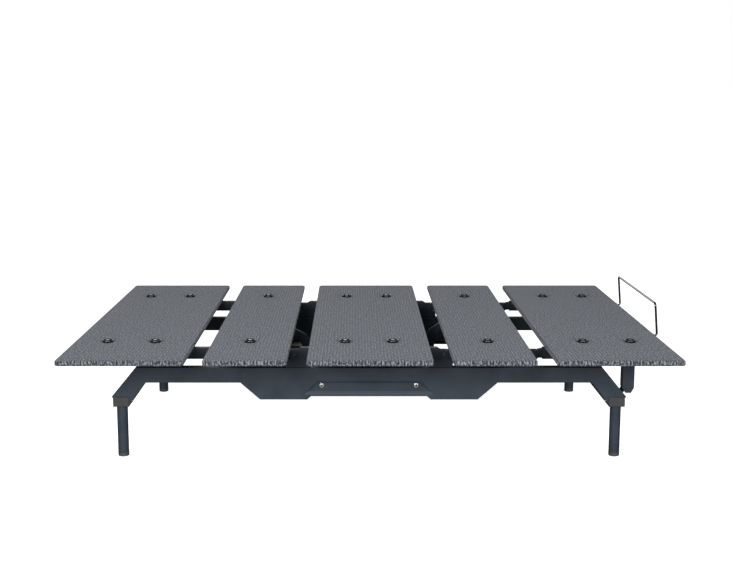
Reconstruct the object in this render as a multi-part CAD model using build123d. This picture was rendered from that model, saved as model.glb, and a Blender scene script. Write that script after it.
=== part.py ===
from build123d import *
import math
import os

# Adjustable bed base, queen size. X runs along the bed from head (-X) to foot (+X),
# Y across it, Z up from the floor. The sleeper's right side is -Y and the left is +Y.
# All shapes are drawn about the middle of the deck and moved by centre_shift when written.

# ---------------------------------------------------------------- deck sizes
deck_width = 1524
deck_top = 405
panel_thickness = 18
panel_lengths = (416, 272, 411, 270, 414)
panel_gaps = (59, 64, 64, 62)
panel_corner = 14
panel_edge = 4.5

# ---------------------------------------------------------------- deck rails and hinges
rail_y = 461.5
rail_width = 25
rail_height = 40
rail_wall = 2
rail_end = 935
hip_x = 258.5
knee_x = 565.5
pivot_drop = 25
hinge_reach = 31.5
hinge_ear_reach = 24.5
ear_top_rise = 17
hinge_plug = 40
hinge_eye = 15
tongue_thickness = 14
pivot_radius = 5
running_gap = 0.05
back_travel = 60
thigh_travel = 24

# ---------------------------------------------------------------- base frame
side_width = 40
side_low = 265
side_high = 318
side_wall = 2.5
bend_x = 805
lower_bend_x = 771
crossbar_x = 857
crossbar_width = 56
crossbar_low = 180
crossbar_high = 213
saddle_thickness = 3
leg_radius = 19
leg_wall = 2
glide_height = 14
wing_toe_rise = 7
wing_toe_reach = 32
wing_screw_inset = 12
wing_screw_radius = 3
wing_hole_depth = 6

# ---------------------------------------------------------------- pressed side plates
plate_thickness = 4.5
plate_half = 442
plate_deep_half = 376
plate_step_half = 213
plate_middle_half = 200
plate_deep_low = 207
plate_middle_low = 218.5
flange_thickness = 3
recess_depth = 3
splice_half = 330
splice_low = 237
splice_high = 314
side_bolt_x = 162.7
side_bolt_z = 256.5

# ---------------------------------------------------------------- drives
drive_drop = 108
drive_y = 62
motor_bar_x = 380
motor_bar_height = 30
rear_pin_x = 338
drive_pin_radius = 6
rod_radius = 10
barrel_radius = 17
arm_thickness = 10
barrel_back = 291
lug_radius = 13
rear_lug_half = 10.7
ear_thickness = 5
fork_depth = 26
rod_reach = 322
slot_end_play = 1.5
slot_side_play = 2.6
drive_tube_x = 300
drive_tube_size = 30

# ---------------------------------------------------------------- calf links
link_x = 895
link_low_z = 250
link_pin_radius = 6
link_wall = 3
link_slot_travel = 18.5

# ---------------------------------------------------------------- retainer bar and fixings
bar_radius = 4
bar_x = 1029
bar_half_width = 310
bar_rise = 117
bar_lean = 10
bar_tail = 60
bar_bend = 10
inlet_depth = 12
inlet_y = -230
cup_y = 462.5
cup_radius = 19.5
cup_height = 8.5
cup_seat = 1
panel_bolt_radius = 4

# ---------------------------------------------------------------- worked out
deck_half = (sum(panel_lengths) + sum(panel_gaps)) / 2
rail_top = deck_top - panel_thickness
rail_low = rail_top - rail_height
pivot_z = rail_top - pivot_drop
saddle_top = crossbar_high + saddle_thickness
wing_toe_z = crossbar_low + wing_toe_rise
rail_start = hip_x + hinge_reach
side_inner = rail_y - side_width / 2
side_outer = rail_y + side_width / 2
drive_z = pivot_z - drive_drop
link_high_z = rail_low + rail_height / 2
bar_z = deck_top - panel_thickness / 2
inlet_z = rail_top - 18
centre_shift = -(bar_x + bar_radius - deck_half) / 2

cup_places = {
    "back": (-900, -736, -409),
    "seat": (-82, 82),
    "thigh": (409,),
    "calf": (736, 900),
}


# ---------------------------------------------------------------- helpers
def prism_y(outline, low, high):
    """Solid of a sketch or a list of points drawn in X and Z, from Y = low to Y = high."""
    sketch = Polygon(*outline, align=None) if isinstance(outline, list) else outline
    drawn = Plane((0, low, 0), x_dir=(1, 0, 0), z_dir=(0, -1, 0)) * sketch
    return extrude(drawn, amount=high - low, dir=(0, 1, 0))


def box_between(low, high):
    """Box from its lowest corner to its highest corner."""
    middle = [(a + b) / 2 for a, b in zip(low, high)]
    return Pos(*middle) * Box(*[b - a for a, b in zip(low, high)])


def disc_y(x, z, radius, low, high):
    """Round bar along Y between two Y values."""
    return Pos(x, (low + high) / 2, z) * Rot(90, 0, 0) * Cylinder(radius, high - low)


def disc_x(x_low, x_high, y, z, radius):
    """Round bar along X between two X values."""
    return Pos((x_low + x_high) / 2, y, z) * Rot(0, 90, 0) * Cylinder(radius, x_high - x_low)


def disc_z(x, y, low, high, radius):
    """Round bar along Z between two heights."""
    return Pos(x, y, (low + high) / 2) * Cylinder(radius, high - low)


def hex_bolt_head(across, height):
    """Hexagon head with a thin round flange, standing on Z = 0."""
    flange = disc_z(0, 0, 0, 1.6, across * 0.62)
    hexagon = extrude(RegularPolygon(across / 2, 6, major_radius=False), amount=height)
    return flange + chamfer(hexagon.faces().sort_by(Axis.Z)[-1].edges(), 0.6)


def tube_along_x(x_low, x_high, y, z_low, width, height, wall):
    """Rectangular tube along X with open ends and softened long edges."""
    outer = box_between((x_low, y - width / 2, z_low), (x_high, y + width / 2, z_low + height))
    outer = fillet(outer.edges().filter_by(Axis.X), 2.4)
    bore = box_between(
        (x_low - 1, y - width / 2 + wall, z_low + wall),
        (x_high + 1, y + width / 2 - wall, z_low + height - wall),
    )
    return outer - bore


def tube_along_y(x, y_low, y_high, z_low, width, height, wall):
    """Rectangular tube along Y with open ends and softened long edges."""
    outer = box_between((x - width / 2, y_low, z_low), (x + width / 2, y_high, z_low + height))
    outer = fillet(outer.edges().filter_by(Axis.Y), 2.4)
    bore = box_between(
        (x - width / 2 + wall, y_low - 1, z_low + wall),
        (x + width / 2 - wall, y_high + 1, z_low + height - wall),
    )
    return outer - bore


def left_of(shape):
    """Copy of a right-hand piece for the left side."""
    return mirror(shape, about=Plane.XZ)


def foot_to_head(shape):
    """Copy of a foot-end piece for the head end."""
    return mirror(shape, about=Plane.YZ)


def on_both_sides(shape):
    return [shape, left_of(shape)]


def at_four_corners(shape):
    right_pair = [shape, foot_to_head(shape)]
    return right_pair + [left_of(piece) for piece in right_pair]


def write(name, shape):
    """Write one node, moved so that the whole base is centred over the origin."""
    solids = shape if isinstance(shape, list) else [shape]
    moved = [Pos(centre_shift, 0, 0) * solid for solid in solids]
    whole = moved[0] if len(moved) == 1 else Compound(children=moved)
    export_step(whole, f"parts/{name}.step")


# ---------------------------------------------------------------- deck panels
def panel_spans():
    """Lowest and highest X of each panel, head to foot."""
    spans = []
    x = -deck_half
    for index, length in enumerate(panel_lengths):
        spans.append((x, x + length))
        x += length + (panel_gaps[index] if index < len(panel_gaps) else 0)
    return spans


def panel(span, cup_rows, sockets=False):
    """Upholstered board with clear holes for its fixing bolts."""
    low, high = span
    outline = RectangleRounded(high - low, deck_width, panel_corner)
    board = Pos((low + high) / 2, 0, rail_top) * extrude(outline, amount=panel_thickness)
    rims = board.faces().sort_by(Axis.Z)
    board = fillet(rims[0].edges() + rims[-1].edges(), panel_edge)
    for x in cup_rows:
        if low < x < high:
            for y in (-cup_y, cup_y):
                board -= disc_z(x, y, rail_top - 1, deck_top + 1, panel_bolt_radius + 0.6)
                board -= disc_z(x, y, deck_top - cup_seat, deck_top + 1, cup_radius + 0.3)
    if sockets:
        for y in (-bar_half_width, bar_half_width):
            board -= disc_x(high - bar_tail - 4, high + 1, y, bar_z, bar_radius + 2.05)
    return board


def cup():
    """Dished ring that seats one fixing bolt, standing in a shallow seat in the panel."""
    bore = panel_bolt_radius + 0.7
    floor = 3
    outline = Line((bore, -cup_seat), (18, -cup_seat))
    outline += Line((18, -cup_seat), (cup_radius, 1.5))
    outline += Line((cup_radius, 1.5), (cup_radius, 3.5))
    outline += ThreePointArc((cup_radius, 3.5), (19, 6.8), (16.4, cup_height))
    outline += ThreePointArc((16.4, cup_height), (13.4, 5.6), (9.2, floor))
    outline += Line((9.2, floor), (bore, floor))
    outline += Line((bore, floor), (bore, -cup_seat))
    return revolve(Plane.XZ * make_face(outline), Axis.Z)


def cups(places):
    return [Pos(x, y, deck_top) * cup() for x in places for y in (-cup_y, cup_y)]


def panel_bolts(places):
    """Hexagon bolts through the cups and panels into the rails."""
    shank_length = cup_height + panel_thickness + 4
    head = Pos(0, 0, 3) * hex_bolt_head(13, 5.5)
    bolt = head + disc_z(0, 0, 3 - shank_length, 3.5, panel_bolt_radius)
    return [Pos(x, y, deck_top) * bolt for x in places for y in (-cup_y, cup_y)]


# ---------------------------------------------------------------- deck rails
def deck_rail(x_low, x_high, bolt_rows, slot_x=None):
    """Right-hand deck rail with bolt holes, and the slot for the calf link's upper pin."""
    rail = tube_along_x(x_low, x_high, -rail_y, rail_low, rail_width, rail_height, rail_wall)
    for x in bolt_rows:
        rail -= disc_z(x, -cup_y, rail_top - 2 * rail_wall, rail_top + 1, panel_bolt_radius + 0.4)
    if slot_x is not None:
        end_radius = link_pin_radius + 2.2
        slot = Pos(slot_x - link_slot_travel / 2, link_high_z) * SlotCenterToCenter(
            link_slot_travel, 2 * end_radius
        )
        rail -= prism_y(slot, -rail_y - rail_width, -rail_y + rail_width)
    return rail


# ---------------------------------------------------------------- deck hinges
def hinge_plug_block(near_x, far_x):
    """Block that fills the end of a rail, welded to its hinge leaf."""
    inset = rail_wall + 0.05
    half = rail_width / 2
    return box_between(
        (near_x, -rail_y - half + inset, rail_low + inset),
        (far_x, -rail_y + half - inset, rail_top - inset - 14),
    )


def hinge_ears(pivot_x):
    """Fork welded into the end of a rail that lies on the head side of its pivot."""
    half = rail_width / 2
    root = pivot_x - hinge_ear_reach - 10
    web = Polygon(
        (root, rail_low),
        (pivot_x + hinge_eye, rail_low),
        (pivot_x + hinge_eye, pivot_z + ear_top_rise),
        (pivot_x - 12, pivot_z + ear_top_rise),
        (pivot_x - hinge_ear_reach, rail_top),
        (root, rail_top),
        align=None,
    )
    cheek = prism_y(web, -rail_y - half, -rail_y + half)
    nose_edges = cheek.edges().filter_by(Axis.Y).sort_by(Axis.X)[-2:]
    cheek = fillet(nose_edges, 4)
    gap = tongue_thickness / 2 + 0.5
    cheek -= box_between(
        (pivot_x - hinge_ear_reach + 2, -rail_y - gap, rail_low - 1),
        (pivot_x + hinge_eye + 1, -rail_y + gap, rail_top + 1),
    )
    cheek -= disc_y(pivot_x, pivot_z, pivot_radius + running_gap, -rail_y - 30, -rail_y + 30)
    return cheek + hinge_plug_block(root - hinge_plug, root)


def hinge_tongue(pivot_x):
    """Single leaf welded into a rail on the foot side, turning between the fork's ears."""
    root = pivot_x + hinge_reach
    eye = hinge_eye - 1
    web = Polygon(
        (pivot_x, pivot_z - eye + 0.5),
        (pivot_x + 8, rail_low + 2),
        (root, rail_low + 4),
        (root, rail_top - 4),
        (root - 8, rail_top - 4),
        (pivot_x, pivot_z + eye - 0.5),
        align=None,
    )
    half = tongue_thickness / 2
    leaf = prism_y(web + Pos(pivot_x, pivot_z) * Circle(eye), -rail_y - half, -rail_y + half)
    leaf -= disc_y(pivot_x, pivot_z, pivot_radius + running_gap, -rail_y - 30, -rail_y + 30)
    return leaf + hinge_plug_block(root, root + hinge_plug)


def hinge_bolt(pivot_x):
    """Pivot bolt with its round head outside the rail and a lock nut inside."""
    outer = -rail_y - rail_width / 2
    inner = -rail_y + rail_width / 2
    shank = disc_y(pivot_x, pivot_z, pivot_radius, outer - 1, inner + 8)
    head = disc_y(pivot_x, pivot_z, 8, outer - 4, outer)
    head = chamfer(head.faces().sort_by(Axis.Y)[0].edges(), 1.5)
    nut = extrude(RegularPolygon(8, 6, major_radius=False), amount=7)
    nut = Pos(pivot_x, inner, pivot_z) * Rot(-90, 0, 0) * nut
    return shank + head + nut


# ---------------------------------------------------------------- base frame
def wing_outline():
    """Side rail and gull-wing slope of the foot end, in X and Z."""
    crossbar_inner = crossbar_x - crossbar_width / 2
    return [
        (1.5, side_low),
        (lower_bend_x, side_low),
        (crossbar_inner, wing_toe_z),
        (crossbar_inner, saddle_top),
        (crossbar_x + wing_toe_reach, saddle_top),
        (bend_x, side_high),
        (1.5, side_high),
    ]


def side_frame():
    """Right foot side rail with its slope: a closed section, open at the inner end."""
    outline = Polygon(*wing_outline(), align=None)
    outer = prism_y(outline, -side_outer, -side_inner)
    long_edges = outer.edges().filter_by(Axis.Y, reverse=True).filter_by(lambda e: e.length > 70)
    outer = fillet(long_edges, 2)
    hollow = offset(outline, amount=-side_wall, kind=Kind.INTERSECTION)
    hollow += Pos(4, (side_low + side_high) / 2) * Rectangle(
        8, side_high - side_low - 2 * side_wall
    )
    screw_hole = Pos(0, 0, -wing_hole_depth / 2) * Cylinder(wing_screw_radius + 0.35, wing_hole_depth)
    screw_hole = wing_screw_place() * screw_hole
    return outer - prism_y(hollow, -side_outer + side_wall, -side_inner - side_wall) - screw_hole


def leg_crossbar():
    """Foot-end tube that joins the two sides and takes the legs."""
    bar = tube_along_y(
        crossbar_x, -side_outer, side_outer, crossbar_low,
        crossbar_width, crossbar_high - crossbar_low, 2.5,
    )
    for y in (-rail_y, rail_y):
        bar -= disc_z(crossbar_x, y, crossbar_low - 1, crossbar_low + 5, 5.2)
    return bar


def crossbar_cap():
    """Moulded cap on the open end of a leg crossbar."""
    low = crossbar_x - crossbar_width / 2
    high = crossbar_x + crossbar_width / 2
    face = box_between((low, -side_outer - 3, crossbar_low), (high, -side_outer, crossbar_high))
    outer_face = face.faces().sort_by(Axis.Y)[0]
    face = chamfer(outer_face.edges(), 1.4)
    plug = box_between(
        (low + 2.6, -side_outer, crossbar_low + 2.6),
        (high - 2.6, -side_outer + 12, crossbar_high - 2.6),
    )
    return face + plug


def saddle_plate():
    """Flat plate between a slope and its crossbar, a little wider than both."""
    half = crossbar_width / 2 + 3
    return box_between(
        (crossbar_x - crossbar_width / 2, -side_outer - 2, crossbar_high),
        (crossbar_x + half, -side_inner + 2, saddle_top),
    )


def leg():
    """Round leg with its threaded stud into the crossbar."""
    top = crossbar_low
    tube = disc_z(crossbar_x, -rail_y, glide_height, top, leg_radius)
    tube -= disc_z(crossbar_x, -rail_y, glide_height - 1, top - 6, leg_radius - leg_wall)
    return tube + disc_z(crossbar_x, -rail_y, top, top + 16, 5)


def leg_glide():
    """Rounded glide pressed into the bottom of a leg."""
    foot = disc_z(crossbar_x, -rail_y, 0, glide_height, leg_radius)
    foot = fillet(foot.faces().sort_by(Axis.Z)[0].edges(), 3)
    plug_radius = leg_radius - leg_wall - 0.05
    return foot + disc_z(crossbar_x, -rail_y, glide_height, glide_height + 18, plug_radius)


def wing_screw_place():
    """Frame of the screw on the inner face of the foot slope, with its Z out of that face."""
    crossbar_inner = crossbar_x - crossbar_width / 2
    run = crossbar_inner - lower_bend_x
    drop = side_low - wing_toe_z
    length = math.hypot(run, drop)
    x = crossbar_inner - wing_screw_inset * run / length
    z = wing_toe_z + wing_screw_inset * drop / length
    return Pos(x, -rail_y, z) * Rot(0, math.degrees(math.atan2(-drop, -run)), 0)


def wing_bolt():
    """Hexagon screw in the inner face of a slope, just above its crossbar."""
    shank_length = wing_hole_depth - 0.5
    shank = Pos(0, 0, -shank_length / 2) * Cylinder(wing_screw_radius, shank_length)
    head = hex_bolt_head(10, 4)
    return wing_screw_place() * (head + shank)


# ---------------------------------------------------------------- pressed side plates
def side_plate_outline():
    """Long side plate seen from the side, deep near its ends and shallower in the middle."""
    right = [
        (plate_middle_half, plate_middle_low),
        (plate_step_half, plate_deep_low),
        (plate_deep_half, plate_deep_low),
        (plate_half, side_low),
        (plate_half, side_high),
    ]
    left = [(-x, z) for x, z in reversed(right)]
    return right + left


def recess_outline(inset):
    """Trapezoid pressed into the middle of the plate, drawn smaller by inset."""
    low_half = 226 - 1.4 * inset
    top_half = 180 - inset
    top = side_low + 8 - inset
    low = plate_middle_low + 4 + 1.5 * inset
    return Polygon((-low_half, low), (low_half, low), (top_half, top), (-top_half, top), align=None)


def side_plate():
    """Pressed plate outside the right rails, with a return flange along its lower edge."""
    face_y = -side_outer - plate_thickness
    plate = prism_y(side_plate_outline(), face_y, -side_outer)
    front = Plane((0, face_y, 0), x_dir=(1, 0, 0), z_dir=(0, -1, 0))
    floor = front.offset(-recess_depth) * recess_outline(3 * recess_depth)
    recess = loft([floor, front.offset(0.01) * recess_outline(0)])
    plate -= recess
    flange_parts = [
        ((plate_step_half + 1, plate_deep_low), (plate_deep_half, plate_deep_low)),
        ((-plate_deep_half, plate_deep_low), (-plate_step_half - 1, plate_deep_low)),
        ((-plate_middle_half, plate_middle_low), (plate_middle_half, plate_middle_low)),
    ]
    for (low, z), (high, _) in flange_parts:
        plate += box_between((low, -side_outer, z), (high, -side_inner + 3, z + flange_thickness))
    for x in (-side_bolt_x, side_bolt_x):
        plate -= disc_y(x, side_bolt_z, 5.3, face_y - 1, -side_outer + 1)
    return plate


def splice_plate():
    """Flat plate inside the right rails that joins the head and foot halves."""
    plate = box_between(
        (-splice_half, -side_inner, splice_low), (splice_half, -side_inner + 3, splice_high)
    )
    plate = fillet(plate.edges().filter_by(Axis.Y), 8)
    for x in (-side_bolt_x, side_bolt_x):
        plate -= disc_y(x, side_bolt_z, 5.3, -side_inner - 1, -side_inner + 4)
    return plate


def side_bolt():
    """Socket bolt through both plates, with a nut inside."""
    seat = -side_outer - plate_thickness + 3
    shank = disc_y(side_bolt_x, side_bolt_z, 5, seat, -side_inner + 14)
    washer = disc_y(side_bolt_x, side_bolt_z, 8, seat - 1.4, seat)
    head = disc_y(side_bolt_x, side_bolt_z, 6.4, seat - 4.6, seat - 1.4)
    head = fillet(head.faces().sort_by(Axis.Y)[0].edges(), 1)
    socket = extrude(RegularPolygon(3, 6, major_radius=False), amount=3)
    socket = Pos(side_bolt_x, seat - 1.8, side_bolt_z) * Rot(90, 0, 0) * socket
    nut = extrude(RegularPolygon(8, 6, major_radius=False), amount=8)
    nut = Pos(side_bolt_x, -side_inner + 3, side_bolt_z) * Rot(-90, 0, 0) * nut
    return shank + washer + (head - socket) + nut


# ---------------------------------------------------------------- seat section supports
def seat_standoff():
    """Bracket that holds a seat rail above the side rail."""
    near_x = 205
    far_x = rail_start - 1
    half = 14
    wall = 3.5
    block = box_between((near_x, -rail_y - half, side_high), (far_x, -rail_y + half, rail_low))
    block -= box_between(
        (near_x - 1, -rail_y - half + wall, side_high + 3),
        (far_x + 1, -rail_y + half - wall, rail_low - 3),
    )
    return block


# ---------------------------------------------------------------- drives
def motor_crossbar():
    """Tube across the base that takes a motor's rear bracket."""
    return tube_along_y(
        motor_bar_x, -side_outer, side_outer, side_low - motor_bar_height,
        side_width, motor_bar_height, 2.5,
    )


def rear_bracket(y):
    """Two ears on a motor crossbar that hold the motor's rear lug."""
    ears = []
    face = motor_bar_x - side_width / 2
    for side in (-1, 1):
        outline = Pos(rear_pin_x, drive_z) * Circle(lug_radius)
        outline += Polygon(
            (rear_pin_x, drive_z - lug_radius),
            (face, drive_z - lug_radius - 1),
            (face, drive_z + lug_radius + 1),
            (rear_pin_x, drive_z + lug_radius),
            align=None,
        )
        inner = y + side * (rear_lug_half + 0.3)
        outer = inner + side * ear_thickness
        ear = prism_y(outline, min(inner, outer), max(inner, outer))
        ear -= disc_y(rear_pin_x, drive_z, drive_pin_radius + running_gap, y - 30, y + 30)
        ears.append(ear)
    return ears


def rear_pin(y):
    """Pin through a rear bracket and its motor lug, with a flat head."""
    ear_face = rear_lug_half + 0.3 + ear_thickness
    pin = disc_y(rear_pin_x, drive_z, drive_pin_radius, y - ear_face - 3, y + ear_face + 3)
    return pin + disc_y(rear_pin_x, drive_z, 9, y - ear_face - 3, y - ear_face - 0.2)


def motor_housing(y, outward):
    """Gearbox with its rear lug and a motor can beside it. outward points the can away."""
    gear_front = 238
    gear_back = 318
    gear_half = 24
    can_front = 150
    can_back = 306
    can_radius = 31
    can_y = y + outward * 56
    barrel_bore = disc_x(gear_front - 8, barrel_back + 1, y, drive_z, barrel_radius + 0.1)
    gearbox = box_between(
        (gear_front, y - gear_half, drive_z - 30), (gear_back, y + gear_half, drive_z + 30)
    )
    gearbox = fillet(gearbox.edges(), 7)
    lug = Pos(rear_pin_x, drive_z) * Circle(lug_radius)
    lug += Polygon(
        (gear_back - 8, drive_z - lug_radius),
        (rear_pin_x, drive_z - lug_radius),
        (rear_pin_x, drive_z + lug_radius),
        (gear_back - 8, drive_z + lug_radius),
        align=None,
    )
    lug = prism_y(lug, y - rear_lug_half, y + rear_lug_half)
    lug -= disc_y(rear_pin_x, drive_z, drive_pin_radius + running_gap, y - 30, y + 30)
    can = disc_x(can_front, can_back, can_y, drive_z - 4, can_radius)
    can = fillet(can.edges(), 5)
    neck = box_between(
        (gear_front + 6, min(y, can_y), drive_z - 24),
        (gear_back - 18, max(y, can_y), drive_z + 20),
    )
    return (gearbox - barrel_bore) + lug + can + (neck - barrel_bore)


def barrel(y, front_x):
    """Outer tube of a drive with a guide bush at its front."""
    bush_length = 30
    collar_length = 22
    bore_radius = barrel_radius - 2.5
    tube = disc_x(front_x, barrel_back, y, drive_z, barrel_radius)
    tube -= disc_x(front_x + bush_length - 4, barrel_back + 1, y, drive_z, bore_radius)
    tube -= disc_x(front_x - 1, front_x + bush_length, y, drive_z, rod_radius + running_gap)
    collar = disc_x(front_x, front_x + collar_length, y, drive_z, barrel_radius + 3)
    collar -= disc_x(front_x - 1, front_x + collar_length + 1, y, drive_z, barrel_radius - 0.5)
    return tube + collar


def drive_rod(y, pin_x, rod_length):
    """Pushing rod with a fork at its front end and the pin that works in the drive arm."""
    nose = 12
    fork_half = 13
    gap_half = arm_thickness / 2 + 1
    web_x = pin_x + fork_depth
    fork = box_between(
        (pin_x - nose, y - fork_half, drive_z - nose), (web_x + 10, y + fork_half, drive_z + nose)
    )
    fork = fillet(fork.edges().filter_by(Axis.Y), 9)
    fork -= box_between(
        (pin_x - nose - 1, y - gap_half, drive_z - fork_half),
        (web_x, y + gap_half, drive_z + fork_half),
    )
    fork -= disc_y(pin_x, drive_z, drive_pin_radius + running_gap, y - 14, y + 14)
    rod = disc_x(web_x + 5, pin_x + rod_length, y, drive_z, rod_radius)
    pin = disc_y(pin_x, drive_z, drive_pin_radius, y - 15, y + 15)
    pin += disc_y(pin_x, drive_z, 8, y - 15, y - 13.2)
    return [fork + rod, pin]


def drive_arm(y, travel):
    """Slotted arm under a deck section for the foot end; its slot takes the drive pin."""
    half_travel = math.radians(travel / 2)
    reach = drive_drop / math.cos(half_travel)
    sagitta = reach - drive_drop
    lean = (-math.sin(half_travel), -math.cos(half_travel))
    slot_far = reach + slot_end_play
    slot_near = drive_drop - slot_end_play
    root_x = drive_tube_x - drive_tube_size / 2
    tip = reach + 19

    def along(distance, side=0):
        return (
            hip_x + lean[0] * distance + lean[1] * side,
            pivot_z + lean[1] * distance - lean[0] * side,
        )

    outline = Polygon(
        (root_x, pivot_z + 17),
        (root_x, pivot_z - 11),
        along(40, -17),
        along(tip - 12, -15),
        along(tip, -8),
        along(tip, 8),
        along(tip - 12, 15),
        along(24, 19),
        align=None,
    )
    outline = fillet(outline.vertices().sort_by(Axis.Y)[:4], 5)
    slot_middle = along(drive_drop + sagitta / 2)
    slot = Pos(*slot_middle) * Rot(0, 0, 90 - travel / 2) * SlotCenterToCenter(
        slot_far - slot_near, 2 * (drive_pin_radius + slot_side_play)
    )
    return prism_y(outline - slot, y - arm_thickness / 2, y + arm_thickness / 2)


def drive_tube():
    """Square tube that carries a drive arm between the two deck rails."""
    reach = rail_y - rail_width / 2
    return tube_along_y(
        drive_tube_x, -reach, reach, pivot_z + 4 - drive_tube_size / 2,
        drive_tube_size, drive_tube_size, 2.5,
    )


def deck_crossbar(x):
    """Light tube that ties the two rails of a long deck section."""
    reach = rail_y - rail_width / 2
    return tube_along_y(x, -reach, reach, rail_low + 12, 40, 20, 2)


# ---------------------------------------------------------------- calf links
def calf_link():
    """Channel-shaped link, open towards the foot, with tapered ends for its two pins."""
    half = side_width / 2
    outline = Polygon(
        (link_x - 10, link_low_z - 21),
        (link_x + 10, link_low_z - 21),
        (link_x + half, link_low_z - 2),
        (link_x + half, link_high_z - 12),
        (link_x + 11, link_high_z + 13),
        (link_x - 11, link_high_z + 13),
        (link_x - half, link_high_z - 12),
        (link_x - half, link_low_z - 2),
        align=None,
    )
    outline = fillet(outline.vertices(), 3)
    body = prism_y(outline, -side_outer, -side_inner)
    inside = box_between(
        (link_x - half + link_wall, -side_outer + link_wall, 200),
        (link_x + half + 5, -side_inner - link_wall, 400),
    )
    upper_gap = box_between(
        (link_x - half - 5, -side_outer + link_wall, link_high_z - 25),
        (link_x + half + 5, -side_inner - link_wall, 400),
    )
    lower_gap = box_between(
        (link_x - half - 5, -side_outer + link_wall, 200),
        (link_x + half + 5, -side_inner - link_wall, link_low_z - 2),
    )
    body -= inside + upper_gap + lower_gap
    for z in (link_low_z, link_high_z):
        body -= disc_y(link_x, z, link_pin_radius + running_gap, -side_outer - 5, -side_inner + 5)
    return body


def link_upper_pin():
    """Pin carried by the link, sliding in the calf rail's slot, with two spacer rings."""
    ring_low = -side_outer + link_wall
    ring_high = -side_inner - link_wall
    near_rail = -rail_y - rail_width / 2 - 0.4
    far_rail = -rail_y + rail_width / 2 + 0.4
    pin = disc_y(link_x, link_high_z, link_pin_radius, -side_outer - 3, -side_inner + 3)
    pin += disc_y(link_x, link_high_z, 10, ring_low + 0.05, near_rail)
    return pin + disc_y(link_x, link_high_z, 10, far_rail, ring_high - 0.05)


def link_lug():
    """Base lug beside the link, with the fixed lower pin on which the link turns."""
    y_low = -side_inner + 2
    outline = Pos(link_x, link_low_z) * Circle(11)
    outline += Polygon(
        (crossbar_x + 10, saddle_top),
        (crossbar_x + 28, saddle_top),
        (link_x + 11, link_low_z),
        (link_x - 9, link_low_z + 6),
        align=None,
    )
    lug = prism_y(outline, y_low, y_low + 8)
    lug += disc_y(link_x, link_low_z, link_pin_radius, -side_outer - 1.5, y_low)
    return lug + disc_y(link_x, link_low_z, 9, -side_outer - 3.5, -side_outer - 0.3)


# ---------------------------------------------------------------- mattress retainer bar
def retainer_bar():
    """Bent rod: two tails into the last panel, two leaning posts and a top rail."""
    tail_x = deck_half - bar_tail
    top_x = bar_x - bar_lean
    top_z = bar_z + bar_rise
    corners = [
        (tail_x, -bar_half_width, bar_z),
        (bar_x, -bar_half_width, bar_z),
        (top_x, -bar_half_width, top_z),
        (top_x, bar_half_width, top_z),
        (bar_x, bar_half_width, bar_z),
        (tail_x, bar_half_width, bar_z),
    ]
    path = FilletPolyline(*corners, radius=bar_bend)
    return sweep(Plane(path @ 0, z_dir=path % 0) * Circle(bar_radius), path=path)


def retainer_sockets():
    """Moulded sleeves in the panel's end that hold the bar's tails."""
    sleeves = []
    for y in (-bar_half_width, bar_half_width):
        sleeve = disc_x(deck_half - bar_tail - 3, deck_half + 1, y, bar_z, bar_radius + 2)
        sleeve += disc_x(deck_half, deck_half + 1, y, bar_z, bar_radius + 4)
        sleeve -= disc_x(deck_half - bar_tail - 1, deck_half + 2, y, bar_z, bar_radius + 0.05)
        sleeves.append(sleeve)
    return sleeves


# ---------------------------------------------------------------- electrics
def electric_case(half_length, near_y, far_y, height):
    """Moulded case fixed under the seat panel, with softened corners."""
    case = box_between(
        (-half_length, near_y, rail_top - height), (half_length, far_y, rail_top)
    )
    case = fillet(case.edges().filter_by(Axis.Z), 7.5)
    return chamfer(case.faces().sort_by(Axis.Z)[0].edges(), 3)


def control_box():
    """Control unit that both drives plug into."""
    return electric_case(90, 150, 262, 38)


def inlet_block(length, shrink=0.0):
    """Block of the mains inlet's outline, from its back into the brick's end, drawn smaller by shrink."""
    back_x = 80 - inlet_depth + shrink
    return box_between(
        (back_x, inlet_y - 14 + shrink, inlet_z - 8 + shrink),
        (back_x + length, inlet_y + 14 - shrink, inlet_z + 8 - shrink),
    )


def power_supply():
    """Power brick beside the control unit, with the recess of its mains inlet."""
    return electric_case(80, -270, -190, 36) - inlet_block(inlet_depth + 2)


def power_inlet():
    """Appliance inlet shell in the end of the power brick, with its two contacts."""
    shell = inlet_block(inlet_depth + 0.5) - inlet_block(inlet_depth + 2, 2.5)
    for y in (inlet_y - 5, inlet_y + 5):
        shell += disc_x(81 - inlet_depth, 79, y, inlet_z, 1.5)
    return shell


# ---------------------------------------------------------------- sections
def write_base():
    foot_frame = side_frame()
    write("foot_frame_right", foot_frame)
    write("foot_frame_left", left_of(foot_frame))
    write("head_frame_right", foot_to_head(foot_frame))
    write("head_frame_left", left_of(foot_to_head(foot_frame)))
    write("side_plate_right", side_plate())
    write("side_plate_left", left_of(side_plate()))
    write("splice_plates", on_both_sides(splice_plate()))
    rear_pins = [rear_pin(-drive_y), foot_to_head(rear_pin(drive_y))]
    write("base_bolts", at_four_corners(side_bolt()) + at_four_corners(wing_bolt()) + rear_pins)
    write("leg_crossbars", [leg_crossbar(), foot_to_head(leg_crossbar())])
    write("crossbar_end_caps", at_four_corners(crossbar_cap()))
    write("saddle_plates", at_four_corners(saddle_plate()))
    leg_names = ("leg_foot_right", "leg_head_right", "leg_foot_left", "leg_head_left")
    for name, solid in zip(leg_names, at_four_corners(leg())):
        write(name, solid)
    write("leg_glides", at_four_corners(leg_glide()))
    write("link_lugs", on_both_sides(link_lug()))


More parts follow.
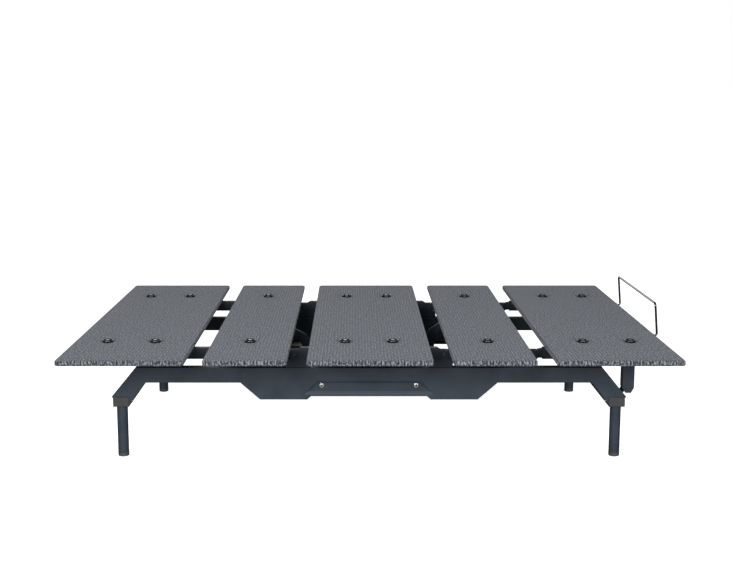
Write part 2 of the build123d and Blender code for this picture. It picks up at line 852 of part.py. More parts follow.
def write_drives():
    write("motor_crossbars", [motor_crossbar(), foot_to_head(motor_crossbar())])
    write("motor_brackets", rear_bracket(-drive_y) + [foot_to_head(e) for e in rear_bracket(drive_y)])
    head_offset = drive_drop * math.tan(math.radians(back_travel / 2))
    foot_offset = drive_drop * math.tan(math.radians(thigh_travel / 2))
    head_pin = -hip_x + head_offset
    foot_pin = hip_x - foot_offset
    write("head_drive_motor", motor_housing(-drive_y, -1))
    write("head_drive_barrel", barrel(-drive_y, head_pin + 42))
    write("head_drive_rod", drive_rod(-drive_y, head_pin, rod_reach))
    write("foot_drive_motor", foot_to_head(motor_housing(drive_y, 1)))
    write("foot_drive_barrel", foot_to_head(barrel(drive_y, -foot_pin + 42)))
    write("foot_drive_rod", [foot_to_head(s) for s in drive_rod(drive_y, -foot_pin, rod_reach)])
    write("control_box", control_box())
    write("power_supply", power_supply())
    write("power_inlet", power_inlet())


def write_seat():
    spans = panel_spans()
    rows = cup_places["seat"]
    seat_end = hip_x - hinge_ear_reach - 10
    write("seat_rails", on_both_sides(deck_rail(-seat_end, seat_end, rows)))
    write("seat_hinge_ears", at_four_corners(hinge_ears(hip_x)))
    write("seat_standoffs", at_four_corners(seat_standoff()))
    write("panel_seat", panel(spans[2], rows))
    write("seat_cups", cups(rows))
    write("seat_bolts", panel_bolts(rows))


def write_back():
    spans = panel_spans()
    rows = cup_places["back"]
    rail = deck_rail(-rail_end, -hip_x - hinge_reach, rows)
    write("back_rails", on_both_sides(rail))
    write("back_hinge_tongues", on_both_sides(foot_to_head(hinge_tongue(hip_x))))
    write("back_drive_tube", foot_to_head(drive_tube()))
    write("back_crossbar", deck_crossbar(-790))
    write("back_drive_arm", foot_to_head(drive_arm(-drive_y, back_travel)))
    write("panel_head", panel(spans[0], rows))
    write("panel_back", panel(spans[1], rows))
    write("back_cups", cups(rows))
    write("back_bolts", panel_bolts(rows) + on_both_sides(hinge_bolt(-hip_x)))


def write_thigh():
    spans = panel_spans()
    rows = cup_places["thigh"]
    rail_low_x = hip_x + hinge_reach
    rail_high_x = knee_x - hinge_ear_reach - 10
    write("thigh_rails", on_both_sides(deck_rail(rail_low_x, rail_high_x, rows)))
    hinge_leaves = on_both_sides(hinge_tongue(hip_x)) + on_both_sides(hinge_ears(knee_x))
    write("thigh_hinge_leaves", hinge_leaves)
    write("thigh_drive_tube", drive_tube())
    write("thigh_drive_arm", drive_arm(drive_y, thigh_travel))
    write("panel_thigh", panel(spans[3], rows))
    write("thigh_cups", cups(rows))
    write("thigh_bolts", panel_bolts(rows) + on_both_sides(hinge_bolt(hip_x)))


def write_calf():
    spans = panel_spans()
    rows = cup_places["calf"]
    rail = deck_rail(knee_x + hinge_reach, rail_end, rows, slot_x=link_x)
    write("calf_rails", on_both_sides(rail))
    write("calf_hinge_tongues", on_both_sides(hinge_tongue(knee_x)))
    write("calf_crossbar", deck_crossbar(790))
    write("panel_calf", panel(spans[4], rows, sockets=True))
    write("calf_cups", cups(rows))
    write("calf_bolts", panel_bolts(rows) + on_both_sides(hinge_bolt(knee_x)))
    write("retainer_bar", retainer_bar())
    write("retainer_sockets", retainer_sockets())
    write("calf_links", on_both_sides(calf_link()))
    write("link_pins", on_both_sides(link_upper_pin()))


def main():
    os.makedirs("parts", exist_ok=True)
    write_base()
    write_drives()
    write_seat()
    write_back()
    write_thigh()
    write_calf()


main()
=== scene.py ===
import math

import bpy
import numpy as np
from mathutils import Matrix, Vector, noise


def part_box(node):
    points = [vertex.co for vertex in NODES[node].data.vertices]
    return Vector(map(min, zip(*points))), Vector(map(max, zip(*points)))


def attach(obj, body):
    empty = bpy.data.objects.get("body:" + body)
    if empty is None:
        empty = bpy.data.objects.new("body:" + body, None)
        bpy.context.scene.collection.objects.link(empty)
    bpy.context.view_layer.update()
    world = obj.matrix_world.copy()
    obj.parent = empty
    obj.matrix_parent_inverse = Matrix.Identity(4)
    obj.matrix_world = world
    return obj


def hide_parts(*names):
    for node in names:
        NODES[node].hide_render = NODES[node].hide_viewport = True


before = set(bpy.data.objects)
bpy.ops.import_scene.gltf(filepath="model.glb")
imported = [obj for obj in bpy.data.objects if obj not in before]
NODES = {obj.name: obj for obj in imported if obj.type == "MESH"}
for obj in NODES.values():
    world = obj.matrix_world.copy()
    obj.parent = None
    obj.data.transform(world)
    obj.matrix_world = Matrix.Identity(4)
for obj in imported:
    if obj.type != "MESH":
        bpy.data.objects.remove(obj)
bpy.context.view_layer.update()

# ---------------------------------------------------------------- deck panels
PANELS = {
    "panel_head": "back",
    "panel_back": "back",
    "panel_seat": "base",
    "panel_thigh": "thigh",
    "panel_calf": "calf",
}
GRID_SPACING = 0.009
CORNER_RADIUS = 0.014
EDGE_RADIUS = 0.0045
EDGE_LINES = (0, 0.03, 0.1, 0.2, 0.33, 0.6)  # grid lines near an edge, as shares of CORNER_RADIUS
WALL_LINES = (0.35, 0.7, 1.0)
ROLL_ANGLES = (22, 45, 67, 90)
CROWN = 0.0007
CROWN_REACH = 0.06
WRINKLE = 0.00025
BROAD_CREASES = (9, 7)
FINE_CREASES = (27, 22)
PLEAT = 0.0005
PLEAT_TURNS = 14
WRAP_UNDER = 0.034
DUST_COVER_INSET = 0.0004
DUST_COVER_RISE = 0.0006

CUP_NODES = ("back_cups", "seat_cups", "thigh_cups", "calf_cups")
CUP_RADIUS = 0.0195
CUP_DIP = 0.0006
CUP_DIP_REACH = 0.032
CUP_SEARCH = 0.06
PUCKER = 0.00015
PUCKERS_ROUND_CUP = 9
GROUP_REACH = 0.045

# ---------------------------------------------------------------- staples and bolt sockets
STAPLE_INSET = 0.026
STAPLE_END = 1.6 * STAPLE_INSET
STAPLE_SPACING = 0.055
STAPLE_HALF = 0.0055
STAPLE_BEND = 0.0008
STAPLE_STAND = 0.0007
STAPLE_LEG = 0.0016
STAPLE_WIRE = 0.0005

HEX = 6
BOLT_RIM_DEPTH = 0.0004
SOCKET_LIFT = 0.0002
SOCKET_RINGS = ((0.0001, 0.0041), (0.0002, 0.0033), (0.0024, 0.0032), (0.0026, 0.0))

# ---------------------------------------------------------------- upholstery cloth
YARN = 0.0030
RIB = 0.0105
WARP_PATCH = (0.0046, 0.090)
WEFT_PATCH = (0.050, 0.0045)
FLECK = (0.0046, 0.0075)
SLUB = (0.0050, 0.010)
PALE_YARN = (0.165, 0.174, 0.195, 1)
BLACK_YARN = (0.008, 0.010, 0.013, 1)
# painted highlight colour for the rib crests
RIB_CREST_HIGHLIGHT = (0.180, 0.190, 0.212, 1)
SHADE = (0.012, 0.014, 0.018, 1)
WARP_TONES = ((0.010, 0.012, 0.015, 1), (0.115, 0.122, 0.139, 1))
WEFT_TONES = ((0.022, 0.025, 0.031, 1), (0.066, 0.071, 0.083, 1))
CLOTH_RELIEF = 0.00045

# ---------------------------------------------------------------- studio and camera
FLOOR_REACH = 200.0
FLOOR_GLOW = 0.78
BELOW_LIGHT = 0.07
ZENITH_LIGHT = 0.24
TENT_LEVELS = ((-0.12, 0.07), (-0.04, 1.0), (0.12, 1.0), (0.20, 0.34), (0.55, 0.28))  # Z, strength
SOFTBOXES = (  # name, place, aim, size, watts
    ("key_light", (-2.0, -4.8, 1.9), (0, 0, 0.3), (3.0, 2.0), 330),
    ("fill_light", (2.4, -4.8, 1.7), (0, 0, 0.3), (2.6, 2.0), 250),
    ("top_light", (0.0, 0.2, 4.2), (0, 0, 0.4), (3.4, 2.6), 12),
    ("rear_light", (-0.8, 4.8, 2.2), (0, 0, 0.3), (3.0, 2.0), 34),
)
CAMERA_PLACE = (-0.0588, -4.641, 1.2790)
CAMERA_LOOKS_DOWN = 9.55
CAMERA_LENS = 60.89
CAMERA_SENSOR = 36.0
CAMERA_SHIFT = 0.01585


# ---------------------------------------------------------------- shader helpers
class Shader:
    """A node material under construction, with short calls for the nodes it uses."""

    def __init__(self, name, **surface):
        self.material = bpy.data.materials.new(name)
        self.material.use_nodes = True
        self.tree = self.material.node_tree
        self.surface = self.tree.nodes["Principled BSDF"]
        for socket, value in surface.items():
            self.surface.inputs[socket.replace("_", " ")].default_value = value

    def add(self, kind, **settings):
        node = self.tree.nodes.new(kind)
        for key, value in settings.items():
            setattr(node, key, value)
        return node

    def feed(self, socket, value):
        """Link a node's output to the socket, or set the socket to a plain value."""
        if isinstance(value, bpy.types.NodeSocket):
            self.tree.links.new(value, socket)
        else:
            socket.default_value = value

    def place(self):
        return self.add("ShaderNodeTexCoord").outputs["Object"]

    def split(self, vector):
        node = self.add("ShaderNodeSeparateXYZ")
        self.feed(node.inputs[0], vector)
        return node.outputs

    def math(self, operation, *values):
        node = self.add("ShaderNodeMath", operation=operation)
        for socket, value in zip(node.inputs, values):
            self.feed(socket, value)
        return node.outputs[0]

    def scaled(self, vector, scale):
        node = self.add("ShaderNodeVectorMath", operation="MULTIPLY")
        self.feed(node.inputs[0], vector)
        node.inputs[1].default_value = scale
        return node.outputs[0]

    def noise(self, vector, scale, detail=2.0, roughness=0.5):
        node = self.add("ShaderNodeTexNoise")
        self.feed(node.inputs["Vector"], vector)
        node.inputs["Scale"].default_value = scale
        node.inputs["Detail"].default_value = detail
        node.inputs["Roughness"].default_value = roughness
        return node.outputs["Fac"]

    def patches(self, vector, size, detail, roughness=0.5):
        """Noise whose patches have that size along U and V."""
        return self.noise(self.scaled(vector, (1 / size[0], 1 / size[1], 1)), 1.0, detail, roughness)

    def range(self, value, low, high, to_low=0.0, to_high=1.0):
        node = self.add("ShaderNodeMapRange", interpolation_type="SMOOTHSTEP")
        self.feed(node.inputs["Value"], value)
        node.inputs["From Min"].default_value = low
        node.inputs["From Max"].default_value = high
        node.inputs["To Min"].default_value = to_low
        node.inputs["To Max"].default_value = to_high
        return node.outputs["Result"]

    def mix(self, factor, a, b):
        node = self.add("ShaderNodeMix", data_type="RGBA")
        sockets = [socket for socket in node.inputs if socket.enabled]
        for socket, value in zip(sockets, (factor, a, b)):
            self.feed(socket, value)
        return next(socket for socket in node.outputs if socket.enabled)

    def bump(self, height, distance, strength=1.0, normal=None):
        node = self.add("ShaderNodeBump")
        node.inputs["Strength"].default_value = strength
        node.inputs["Distance"].default_value = distance
        self.feed(node.inputs["Height"], height)
        if normal is not None:
            self.feed(node.inputs["Normal"], normal)
        return node.outputs["Normal"]

    def soft_edges(self, radius):
        node = self.add("ShaderNodeBevel", samples=4)
        node.inputs["Radius"].default_value = radius
        return node.outputs["Normal"]

    def edge_mask(self, rounded):
        """1 on the edges, 0 on flat faces: how far the rounded normal leans from the face's own."""
        own = self.add("ShaderNodeNewGeometry").outputs["Normal"]
        dot = self.add("ShaderNodeVectorMath", operation="DOT_PRODUCT")
        self.feed(dot.inputs[0], rounded)
        self.feed(dot.inputs[1], own)
        return self.range(dot.outputs["Value"], 0.97, 0.80)

    def finish(self, color=None, roughness=None, normal=None):
        for socket, value in (("Base Color", color), ("Roughness", roughness), ("Normal", normal)):
            if value is not None:
                self.feed(self.surface.inputs[socket], value)
        return self.material


def grey(level, blue=1.0):
    """Linear colour of that level, a little cooler where blue is above 1."""
    return (level / blue, level, level * blue, 1)


# ---------------------------------------------------------------- materials
def powder_coat(name, level, blue, rough):
    """Satin powder coat on steel: fine orange peel, faint mottling and lighter worn edges."""
    s = Shader(name, Specular_IOR_Level=0.16)
    place = s.place()
    peel = s.noise(place, 900, 2.0)
    mottle = s.noise(place, 14, 3.0)
    speck = s.range(s.noise(place, 2600, 1.0), 0.60, 0.72)
    tone = s.mix(s.range(mottle, 0.3, 0.7), grey(level * 0.88, blue), grey(level * 1.12, blue))
    tone = s.mix(s.math("MULTIPLY", speck, 0.35), tone, grey(level * 2.2, blue))
    rounded = s.soft_edges(0.0012)
    scuffs = s.range(s.noise(place, 60, 3.0), 0.42, 0.62)
    worn = s.math("MULTIPLY", s.edge_mask(rounded), scuffs)
    tone = s.mix(s.math("MULTIPLY", worn, 0.5), tone, grey(level * 3.2, blue))
    roughness = s.range(mottle, 0.25, 0.75, rough - 0.05, rough + 0.07)
    normal = s.bump(peel, 0.00006, 0.5, rounded)
    return s.finish(tone, roughness, normal)


def plating(name, cold, warm):
    """Zinc plating on fasteners, clouded between two tones."""
    s = Shader(name, Metallic=1.0)
    place = s.place()
    cloud = s.noise(place, 220, 3.0)
    tone = s.mix(s.range(cloud, 0.3, 0.7), (*cold, 1), (*warm, 1))
    roughness = s.range(s.noise(place, 700, 2.0), 0.3, 0.7, 0.22, 0.38)
    normal = s.bump(cloud, 0.00004, 0.5, s.soft_edges(0.0005))
    return s.finish(tone, roughness, normal)


def ground_steel():
    """Hard chromed drive rod with faint rings from grinding."""
    s = Shader("ground_steel", Metallic=1.0)
    rings = s.noise(s.scaled(s.place(), (1.0, 0.04, 0.04)), 1800, 2.0)
    tone = s.mix(s.range(rings, 0.35, 0.65), (0.56, 0.57, 0.58, 1), (0.70, 0.71, 0.72, 1))
    roughness = s.range(rings, 0.3, 0.7, 0.14, 0.26)
    normal = s.bump(rings, 0.00002, 0.4, s.soft_edges(0.0006))
    return s.finish(tone, roughness, normal)


def bar_finish():
    """Dark satin chrome of the retainer bar."""
    s = Shader("bar_finish", Metallic=1.0)
    place = s.place()
    haze = s.noise(place, 90, 3.0)
    tone = s.mix(s.range(haze, 0.3, 0.7), (0.050, 0.052, 0.056, 1), (0.085, 0.088, 0.094, 1))
    roughness = s.range(haze, 0.25, 0.75, 0.10, 0.22)
    normal = s.bump(s.noise(place, 1500), 0.00002, 0.4)
    return s.finish(tone, roughness, normal)


def moulded_plastic(name, level, rough, grain, depth):
    """Moulded plastic with a fine spark-eroded grain."""
    s = Shader(name)
    place = s.place()
    grain_height = s.noise(place, grain, 2.0, 0.6)
    cloud = s.noise(place, 35, 2.0)
    tone = s.mix(s.range(cloud, 0.3, 0.7), grey(level * 0.85), grey(level * 1.15))
    roughness = s.range(grain_height, 0.3, 0.7, rough - 0.06, rough + 0.08)
    normal = s.bump(grain_height, depth, 0.6, s.soft_edges(0.0008))
    return s.finish(tone, roughness, normal)


def rubber():
    """Matt rubber glide, dusty towards the floor."""
    s = Shader("glide_rubber", Specular_IOR_Level=0.35)
    place = s.place()
    low_down = s.range(s.split(place)["Z"], 0.009, 0.0)
    dust = s.math("MULTIPLY", low_down, s.noise(place, 300, 3.0))
    tone = s.mix(dust, grey(0.028), grey(0.09))
    roughness = s.range(dust, 0, 1, 0.62, 0.9)
    normal = s.bump(s.noise(place, 1100), 0.00008, 0.5)
    return s.finish(tone, roughness, normal)


def weave_heights(s, u, v):
    """Heights of the warp along V and the weft along U of a plain weave of YARN pitch."""
    half_turn = math.pi
    u = s.math("DIVIDE", u, YARN)
    v = s.math("DIVIDE", v, YARN)
    column = s.math("MULTIPLY", s.math("FLOOR", u), half_turn)
    row = s.math("MULTIPLY", s.math("FLOOR", v), half_turn)
    across_u = s.math("SINE", s.math("MULTIPLY", s.math("FRACT", u), half_turn))
    across_v = s.math("SINE", s.math("MULTIPLY", s.math("FRACT", v), half_turn))
    up_v = s.math("SINE", s.math("ADD", s.math("MULTIPLY", v, half_turn), column))
    up_u = s.math("SINE", s.math("ADD", s.math("MULTIPLY", u, half_turn), row))
    warp = s.math("MULTIPLY", across_u, s.math("MULTIPLY_ADD", up_v, 0.5, 0.5))
    weft = s.math("MULTIPLY", across_v, s.math("MULTIPLY_ADD", up_u, -0.5, 0.5))
    return warp, weft


def yarn_tone(s, cloth, warp, weft):
    """Colour of the yarn that lies on top, patchy along its length."""
    warp_yarn = s.patches(cloth, WARP_PATCH, 2.0, 0.6)
    weft_yarn = s.patches(cloth, WEFT_PATCH, 2.0, 0.6)
    warp_tone = s.mix(s.range(warp_yarn, 0.36, 0.64), *WARP_TONES)
    weft_tone = s.mix(s.range(weft_yarn, 0.34, 0.66), *WEFT_TONES)
    on_top = s.range(s.math("SUBTRACT", warp, weft), -0.12, 0.12)
    return s.mix(on_top, weft_tone, warp_tone)


def upholstery():
    """Heathered charcoal cover: a coarse plain weave of flecked yarns, with ribs across the bed
    drawn only as painted shade in their troughs and painted highlight on their crests.
    """
    s = Shader(
        "upholstery", Roughness=0.92, Specular_IOR_Level=0.22,
        Sheen_Weight=0.10, Sheen_Roughness=0.5, Sheen_Tint=(0.75, 0.8, 0.88, 1),
    )
    cloth = s.add("ShaderNodeAttribute", attribute_name="cloth").outputs["Vector"]
    along = s.split(cloth)
    warp, weft = weave_heights(s, along["X"], along["Y"])
    fleck = s.patches(cloth, FLECK, 1.0)
    slub = s.patches(cloth, SLUB, 0.0)
    rib = s.math("SINE", s.math("MULTIPLY", along["X"], 2 * math.pi / RIB))
    height = s.math("MAXIMUM", warp, weft)
    tone = yarn_tone(s, cloth, warp, weft)
    for mask, colour in (
        (s.range(fleck, 0.55, 0.68, 0.0, 0.45), PALE_YARN),
        (s.range(fleck, 0.45, 0.32, 0.0, 0.45), BLACK_YARN),
        (s.range(slub, 0.52, 0.60, 0.0, 0.85), PALE_YARN),
        (s.range(slub, 0.48, 0.40, 0.0, 0.85), BLACK_YARN),
        # painted shade in the rib troughs, painted highlight on the rib crests, painted shade down
        # between the yarns
        (s.range(rib, 0.4, -0.8, 0.0, 0.45), SHADE),
        (s.range(rib, 0.3, 1.0, 0.0, 0.10), RIB_CREST_HIGHLIGHT),
        (s.range(height, 0.30, 0.05, 0.0, 0.7), SHADE),
    ):
        tone = s.mix(mask, tone, colour)
    fuzz = s.noise(cloth, 2600, 2.0)
    relief = s.math("ADD", s.math("MULTIPLY", height, 0.8), s.math("MULTIPLY", fuzz, 0.25))
    return s.finish(tone, None, s.bump(relief, CLOTH_RELIEF, 0.75))


def dust_cover():
    """Thin black spun cloth stapled under each panel."""
    s = Shader("dust_cover", Specular_IOR_Level=0.2)
    fibres = s.noise(s.scaled(s.place(), (1.0, 0.35, 1.0)), 1400, 3.0, 0.7)
    tone = s.mix(s.range(fibres, 0.35, 0.65), grey(0.009), grey(0.030))
    roughness = s.range(fibres, 0.3, 0.7, 0.75, 0.95)
    return s.finish(tone, roughness, s.bump(fibres, 0.0002, 0.7))


def studio_floor():
    """Pale seamless floor, kept bright by the light that bounces around a white studio."""
    s = Shader("studio_floor", Roughness=0.9, Specular_IOR_Level=0.1)
    tone = s.mix(s.noise(s.place(), 3.0, 2.0), (0.90, 0.90, 0.90, 1), (0.93, 0.93, 0.93, 1))
    s.surface.inputs["Emission Color"].default_value = (1, 1, 1, 1)
    s.surface.inputs["Emission Strength"].default_value = FLOOR_GLOW
    return s.finish(tone)


MATERIALS = {
    "frame_paint": powder_coat("frame_powder", 0.0235, 1.34, 0.50),
    "deck_paint": powder_coat("deck_powder", 0.017, 1.38, 0.50),
    "zinc": plating("bright_zinc", (0.50, 0.51, 0.52), (0.66, 0.65, 0.61)),
    # dark finish of the deck bolts; also painted shade inside the side-plate bolt sockets
    "dark_zinc": plating("black_zinc_and_socket_shade", (0.055, 0.058, 0.062), (0.10, 0.10, 0.11)),
    "cup_black": moulded_plastic("cup_gloss", 0.002, 0.12, 500, 0.00002),
    "cap_plastic": moulded_plastic("cap_grain", 0.009, 0.60, 1500, 0.00008),
    "black_plastic": moulded_plastic("case_grain", 0.014, 0.50, 1300, 0.00010),
    "foot_rubber": rubber(),
    "bar_chrome": bar_finish(),
    "rod_steel": ground_steel(),
}
COVER = upholstery()
UNDERSIDE = dust_cover()


def finish_cad_nodes():
    """Every CAD node takes the finish of its material slot."""
    for node in NODES.values():
        for index, place in enumerate(node.data.materials):
            look = MATERIALS.get(place.name.split(".")[0])
            if look is not None:
                node.data.materials[index] = look


# ---------------------------------------------------------------- making the deck panels
def group_middles(points):
    """Middle of each group of points that lie within GROUP_REACH of the group's first point."""
    groups = []
    for point in points:
        near = [group for group in groups if (group[0] - point).length < GROUP_REACH]
        if near:
            near[0].append(point)
        else:
            groups.append([point])
    return [sum(group, Vector()) / len(group) for group in groups]


def cup_centres():
    """Middle of each fixing cup, read from the frame."""
    return group_middles(v.co for name in CUP_NODES for v in NODES[name].data.vertices)


def edge_steps(length):
    """Grid lines from one edge of a panel to the other: close on the rounded edge, even between."""
    rim = [CORNER_RADIUS * share for share in EDGE_LINES]
    count = round((length - 2 * CORNER_RADIUS) / GRID_SPACING)
    middle = np.linspace(CORNER_RADIUS, length - CORNER_RADIUS, count + 1)
    return np.concatenate([rim, middle, length - np.array(rim[::-1])])


def round_corners(x, y, half_x, half_y):
    """The grid's points with its four corners turned on CORNER_RADIUS."""
    a = (np.abs(x) - (half_x - CORNER_RADIUS)) / CORNER_RADIUS
    b = (np.abs(y) - (half_y - CORNER_RADIUS)) / CORNER_RADIUS
    corner = (a > 0) & (b > 0)
    reach = np.maximum(a, b)
    length = np.hypot(a, b)
    share = np.where(corner, reach / np.where(length > 0, length, 1), 1)
    turned_x = np.sign(x) * (half_x - CORNER_RADIUS + a * share * CORNER_RADIUS)
    turned_y = np.sign(y) * (half_y - CORNER_RADIUS + b * share * CORNER_RADIUS)
    return np.where(corner, turned_x, x), np.where(corner, turned_y, y)


def top_height(point, edge_distance, number, cups):
    """Height above the board's top: padding crown, dips at the cups and soft creases."""
    inside = min(edge_distance / CROWN_REACH, 1.0)
    height = CROWN * math.sin(inside * math.pi / 2)
    nearest = min((math.hypot(point[0] - c.x, point[1] - c.y) for c in cups), default=1.0)
    if nearest < CUP_RADIUS + CUP_DIP_REACH:
        share = max(0.0, (nearest - CUP_RADIUS) / CUP_DIP_REACH)
        height -= (height + CUP_DIP) * (1 - share) ** 2
        angle = math.atan2(point[1] - cups[0].y, point[0] - cups[0].x)
        height += PUCKER * math.sin(PUCKERS_ROUND_CUP * angle) * math.sin(math.pi * share)
    x, y = point
    broad = Vector((x * BROAD_CREASES[0] + number, y * BROAD_CREASES[1], number))
    fine = Vector((x * FINE_CREASES[0], y * FINE_CREASES[1] + number, 0))
    crease = noise.noise(broad)
    crease += 0.5 * noise.noise(fine)
    return height + WRINKLE * crease * inside


def edge_drop(distance):
    """How far the cover has rolled down at that distance in from the edge."""
    if distance >= EDGE_RADIUS:
        return 0.0
    return EDGE_RADIUS - math.sqrt(EDGE_RADIUS**2 - (EDGE_RADIUS - distance) ** 2)


def side_profile(thickness):
    """Rings of the cover below its rim: (inset, height below the rim, cloth length used)."""
    wall = thickness - 2 * EDGE_RADIUS
    rings = [(0.0, wall * share, wall * share) for share in WALL_LINES]
    for angle in ROLL_ANGLES:
        turn = math.radians(angle)
        inset = EDGE_RADIUS * (1 - math.cos(turn))
        rings.append((inset, wall + EDGE_RADIUS * math.sin(turn), wall + EDGE_RADIUS * turn))
    below = wall + EDGE_RADIUS
    used = wall + EDGE_RADIUS * math.pi / 2
    rings.append((WRAP_UNDER, below, used + WRAP_UNDER - EDGE_RADIUS))
    rings.append((WRAP_UNDER + DUST_COVER_INSET, below - DUST_COVER_RISE, used + WRAP_UNDER))
    return rings


def rim_of_grid(count_x, count_y):
    """Indices of the grid's outermost points, once around."""
    rim = [i * count_y for i in range(count_x)]
    rim += [(count_x - 1) * count_y + j for j in range(1, count_y)]
    rim += [i * count_y + count_y - 1 for i in range(count_x - 2, -1, -1)]
    rim += [j for j in range(count_y - 2, 0, -1)]
    return rim


def ring_faces(last, ring):
    """Quads between two rings of point indices, once around."""
    count = len(last)
    return [(last[k], ring[k], ring[(k + 1) % count], last[(k + 1) % count]) for k in range(count)]


class CoverShape:
    """Points, cloth coordinates and faces of one panel's cover, built from the top down."""

    def __init__(self, name, number, all_cups):
        self.low, self.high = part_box(name)
        self.number = number
        self.middle_x = ((self.low + self.high) / 2).x
        self.half_x = (self.high.x - self.low.x) / 2
        self.half_y = (self.high.y - self.low.y) / 2
        self.cups = [c for c in all_cups if self.low.x < c.x < self.high.x]
        self.points = []
        self.cloth = []
        self.faces = []

    def add_top(self):
        """Gridded top with rounded corners and a rolled edge; its outermost points are returned."""
        steps_x = edge_steps(2 * self.half_x)
        steps_y = edge_steps(2 * self.half_y)
        grid_x, grid_y = np.meshgrid(steps_x - self.half_x, steps_y - self.half_y, indexing="ij")
        distance = np.minimum(self.half_x - np.abs(grid_x), self.half_y - np.abs(grid_y))
        turned_x, turned_y = round_corners(grid_x, grid_y, self.half_x, self.half_y)
        count_x, count_y = grid_x.shape
        for i in range(count_x):
            for j in range(count_y):
                x, y = self.middle_x + turned_x[i, j], turned_y[i, j]
                away = max(float(distance[i, j]), 0.0)
                near = [c for c in self.cups if math.hypot(x - c.x, y - c.y) < CUP_SEARCH]
                rise = top_height((x, y), away, self.number, near)
                self.points.append((x, y, self.high.z + rise - edge_drop(away)))
                self.cloth.append((x, y, self.number))
        self.faces += [
            (i * count_y + j, (i + 1) * count_y + j, (i + 1) * count_y + j + 1, i * count_y + j + 1)
            for i in range(count_x - 1)
            for j in range(count_y - 1)
        ]
        return rim_of_grid(count_x, count_y)

    def corner_direction(self, x, y):
        """Direction out of the panel at a rim point, turning round the corners."""
        out_x = max(abs(x) - (self.half_x - CORNER_RADIUS), 0) * math.copysign(1, x)
        out_y = max(abs(y) - (self.half_y - CORNER_RADIUS), 0) * math.copysign(1, y)
        return Vector((out_x, out_y)).normalized()

    def add_ring(self, rim, inset, fall, used):
        """One ring of the side or the wrap, pleated at the corners; its points are returned."""
        ring = []
        for index in rim:
            x, y = self.points[index][0] - self.middle_x, self.points[index][1]
            out_x, out_y = self.corner_direction(x, y)
            turn = math.atan2(abs(out_y), abs(out_x))
            folds = math.sin(2 * turn) ** 2 * math.sin(PLEAT_TURNS * turn)
            pleat = folds * PLEAT * min(1, fall / EDGE_RADIUS)
            shrink_x = 1 - (inset + pleat) / self.half_x
            shrink_y = 1 - (inset + pleat) / self.half_y
            below = self.high.z - EDGE_RADIUS - fall
            ring.append(len(self.points))
            self.points.append((self.middle_x + x * shrink_x, y * shrink_y, below))
            self.cloth.append((self.middle_x + x + out_x * used, y + out_y * used, self.number))
        return ring

    def add_sides(self, rim):
        """Sides, wrap under the board and, as the last face, the dust cover."""
        last = rim
        for inset, fall, used in side_profile(self.high.z - self.low.z):
            ring = self.add_ring(rim, inset, fall, used)
            self.faces += ring_faces(last, ring)
            last = ring
        self.faces.append(tuple(reversed(last)))

    def mesh(self, name):
        mesh = bpy.data.meshes.new(name)
        mesh.from_pydata(self.points, [], self.faces)
        mesh.validate()
        attribute = mesh.attributes.new("cloth", "FLOAT_VECTOR", "POINT")
        attribute.data.foreach_set("vector", np.array(self.cloth, np.float32).ravel())
        mesh.materials.append(COVER)
        mesh.materials.append(UNDERSIDE)
        for face in mesh.polygons:
            face.use_smooth = True
        underside = mesh.polygons[len(mesh.polygons) - 1]
        underside.material_index = 1
        underside.use_smooth = False
        return mesh


def upholstered_panel(name, body, number, all_cups):
    """One deck panel: a padded board in its cover, with the cover turned under and a dust cover."""
    shape = CoverShape(name, number, all_cups)
    shape.add_sides(shape.add_top())
    cover = bpy.data.objects.new(name + "_cover", shape.mesh(name + "_cover"))
    bpy.context.scene.collection.objects.link(cover)
    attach(cover, body)
    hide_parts(name)


# ---------------------------------------------------------------- small pieces
def new_piece(name, points, faces, body, slot_name):
    """Mesh piece in its slot's finish that rides on a body."""
    mesh = bpy.data.meshes.new(name)
    mesh.from_pydata(points, [], faces)
    mesh.materials.append(MATERIALS[slot_name])
    piece = bpy.data.objects.new(name, mesh)
    bpy.context.scene.collection.objects.link(piece)
    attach(piece, body)


def tube_faces(first, sides, rings):
    """Quads between successive rings of points that start at index first."""
    faces = []
    for ring in range(rings - 1):
        for k in range(sides):
            a = first + sides * ring + k
            b = first + sides * ring + (k + 1) % sides
            faces.append((a, b, b + sides, a + sides))
    return faces


def staple_row(start, end):
    """Places of staples along one side of a panel."""
    count = round((end - start - 2 * STAPLE_INSET) / STAPLE_SPACING)
    return np.linspace(start + STAPLE_END, end - STAPLE_END, count)


def staple_places(low, high):
    """(x, y, runs along Y) of every staple under a panel."""
    places = []
    for y, x in (
        (-(high.y - STAPLE_INSET), low.x + STAPLE_INSET),
        (high.y - STAPLE_INSET, high.x - STAPLE_INSET),
    ):
        places += [(step, y, False) for step in staple_row(low.x, high.x)]
        places += [(x, step, True) for step in staple_row(low.y, high.y)]
    return places


def staples(name, body):
    """Wire staples that hold the cover and dust cover to the underside of one panel."""
    low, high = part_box(name)
    bend = STAPLE_HALF - STAPLE_BEND
    path = (
        (-STAPLE_HALF, STAPLE_LEG), (-STAPLE_HALF, 0), (-bend, -STAPLE_STAND),
        (bend, -STAPLE_STAND), (STAPLE_HALF, 0), (STAPLE_HALF, STAPLE_LEG),
    )
    section = ((-1, -1), (1, -1), (1, 1), (-1, 1))
    points, faces = [], []
    for x, y, along_y in staple_places(low, high):
        faces += tube_faces(len(points), len(section), len(path))
        for along, rise in path:
            for side, up in section:
                across = side * STAPLE_WIRE
                dx, dy = (across, along) if along_y else (along, across)
                points.append((x + dx, y + dy, low.z + rise + up * STAPLE_WIRE))
    new_piece(name.replace("panel", "staples"), points, faces, body, "zinc")


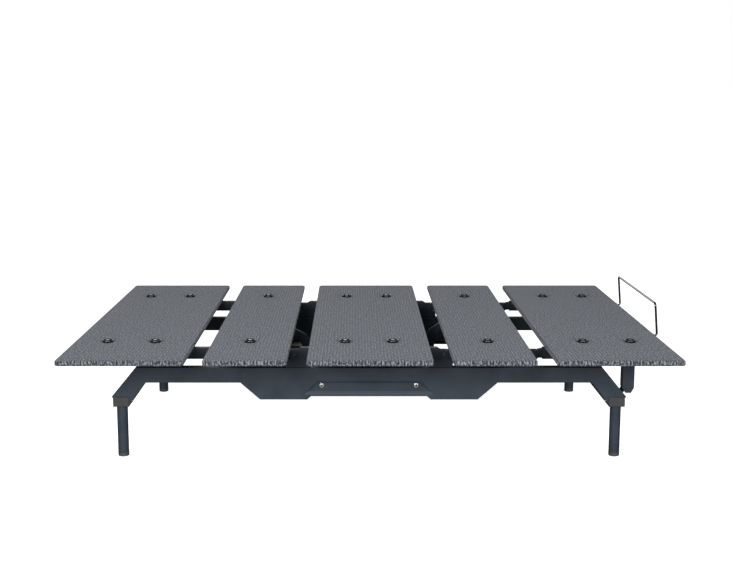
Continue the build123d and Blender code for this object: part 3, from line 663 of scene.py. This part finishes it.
def bolt_socket_shade():
    """Hexagon recesses in the four bolts of the side plates, given a near-black finish as painted
    shade inside them.
    """
    outer_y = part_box("base_bolts")[1].y
    bolts = NODES["base_bolts"].data.vertices
    rim = [v.co for v in bolts if abs(v.co.y) > outer_y - BOLT_RIM_DEPTH]
    points, faces = [], []
    for middle in group_middles(rim):
        side = math.copysign(1, middle.y)
        faces += tube_faces(len(points), HEX, len(SOCKET_RINGS))
        for depth, radius in SOCKET_RINGS:
            y = side * (outer_y + SOCKET_LIFT - depth)
            for k in range(HEX):
                turn = 2 * math.pi * k / HEX
                x = middle.x + radius * math.cos(turn)
                points.append((x, y, middle.z + radius * math.sin(turn)))
    # the recesses take the dark bolt finish as painted shade, not the bright zinc of the bolts
    new_piece("bolt_socket_shade", points, faces, "base", "dark_zinc")


# ---------------------------------------------------------------- studio
def softbox(name, place, aim, size, power):
    """Large soft light that looks at a point."""
    light = bpy.data.lights.new(name, "AREA")
    light.shape = "RECTANGLE"
    light.size, light.size_y = size
    light.energy = power
    lamp = bpy.data.objects.new(name, light)
    lamp.location = place
    lamp.rotation_euler = (Vector(aim) - Vector(place)).to_track_quat("-Z", "Y").to_euler()
    bpy.context.scene.collection.objects.link(lamp)


def light_tent():
    """World light: a bright band around the horizon, dimmer overhead and dark below the floor."""
    world = bpy.data.worlds.new("light_tent")
    world.use_nodes = True
    tree = world.node_tree
    background = tree.nodes["Background"]
    split = tree.nodes.new("ShaderNodeSeparateXYZ")
    levels = tree.nodes.new("ShaderNodeFloatCurve")
    lift = tree.nodes.new("ShaderNodeMapRange")
    lift.inputs["From Min"].default_value = -1.0
    tree.links.new(tree.nodes.new("ShaderNodeTexCoord").outputs["Generated"], split.inputs[0])
    tree.links.new(split.outputs["Z"], lift.inputs["Value"])
    tree.links.new(lift.outputs["Result"], levels.inputs["Value"])
    curve = levels.mapping.curves[0]
    curve.points[0].location = (0.0, BELOW_LIGHT)
    curve.points[1].location = (1.0, ZENITH_LIGHT)
    for height, level in TENT_LEVELS:
        curve.points.new((height + 1) / 2, level)
    for point in curve.points:
        point.handle_type = "VECTOR"
    levels.mapping.update()
    tree.links.new(levels.outputs["Value"], background.inputs["Strength"])
    background.inputs["Color"].default_value = (1, 1, 1, 1)
    bpy.context.scene.world = world


def studio():
    """White floor, world light and softboxes around the bed."""
    reach = FLOOR_REACH
    corners = [(-reach, -reach, 0), (reach, -reach, 0), (reach, reach, 0), (-reach, reach, 0)]
    mesh = bpy.data.meshes.new("studio_floor")
    mesh.from_pydata(corners, [], [(0, 1, 2, 3)])
    mesh.materials.append(studio_floor())
    floor = bpy.data.objects.new("studio_floor", mesh)
    bpy.context.scene.collection.objects.link(floor)
    floor.visible_diffuse = False
    floor.visible_glossy = False
    light_tent()
    for row in SOFTBOXES:
        softbox(*row)


def camera():
    """View from the right side of the bed, a little above it and left of its middle."""
    lens = bpy.data.cameras.new("camera")
    lens.sensor_width = CAMERA_SENSOR
    lens.lens = CAMERA_LENS
    lens.shift_x = CAMERA_SHIFT
    eye = bpy.data.objects.new("camera", lens)
    eye.location = CAMERA_PLACE
    eye.rotation_euler = (math.radians(90 - CAMERA_LOOKS_DOWN), 0, 0)
    bpy.context.scene.collection.objects.link(eye)
    bpy.context.scene.camera = eye


camera()
studio()
bpy.context.scene.view_settings.view_transform = "Standard"
finish_cad_nodes()
cups = cup_centres()
for number, (panel, body) in enumerate(PANELS.items()):
    upholstered_panel(panel, body, number, cups)
    staples(panel, body)
bolt_socket_shade()
